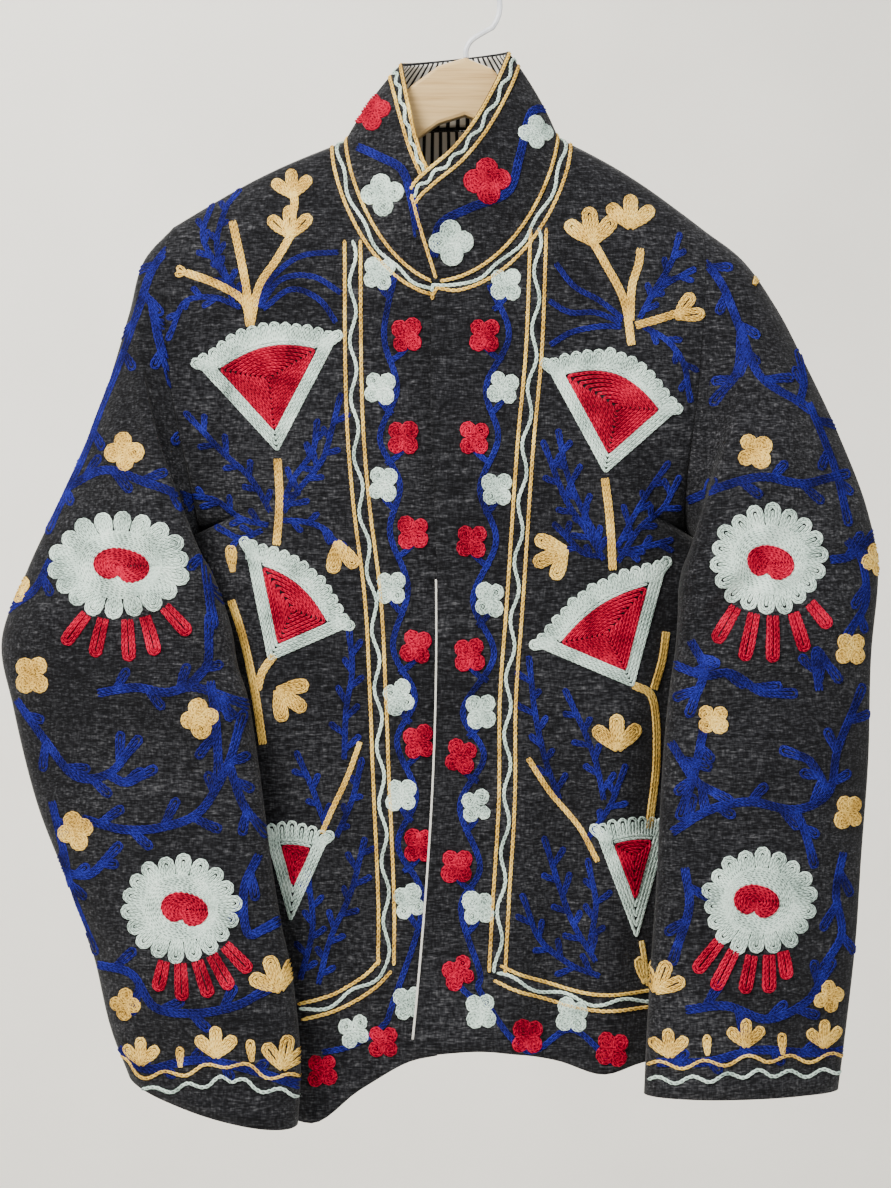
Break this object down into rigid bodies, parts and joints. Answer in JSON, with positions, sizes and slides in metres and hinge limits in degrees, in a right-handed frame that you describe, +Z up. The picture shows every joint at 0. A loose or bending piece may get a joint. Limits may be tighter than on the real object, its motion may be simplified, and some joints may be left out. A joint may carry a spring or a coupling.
{
  "type": "embroidered jacket on a hanger",
  "caption": "Hip-length jacket of dark slub cotton with bright chain-stitch flowers, a striped-lined stand collar and an open front, hanging on a flat wooden hanger",
  "frame": {"origin": "the inside of the top of the hanger's hook, where a rail holds it", "axes": "+X to the right as the front is looked at, +Y towards the back of the jacket, +Z up"},
  "size_m": [0.6356, 0.1637, 0.8403],
  "materials": {
    "charcoal_cloth": "slub-woven cotton, matte",
    "striped_lining": "plain-woven cotton with narrow black and white stripes",
    "pale_facing": "plain-woven cotton",
    "pale_wood": "smooth pale board, satin",
    "white_wire": "white coated wire",
    "blue_yarn": "chain-stitched wool yarn",
    "mint_yarn": "chain-stitched wool yarn",
    "red_yarn": "chain-stitched wool yarn",
    "tan_yarn": "chain-stitched wool yarn"
  },
  "bodies": {
    "root": {"back_panel": "charcoal_cloth", "front_panel_left": "charcoal_cloth", "front_panel_right": "charcoal_cloth", "sleeve_left": "charcoal_cloth", "sleeve_right": "charcoal_cloth", "collar": "charcoal_cloth", "collar_lining": "striped_lining", "back_neck_lining": "striped_lining", "front_facing": "pale_facing", "hanger_board": "pale_wood", "hanger_hook": "white_wire"}
  },
  "joints": []
}
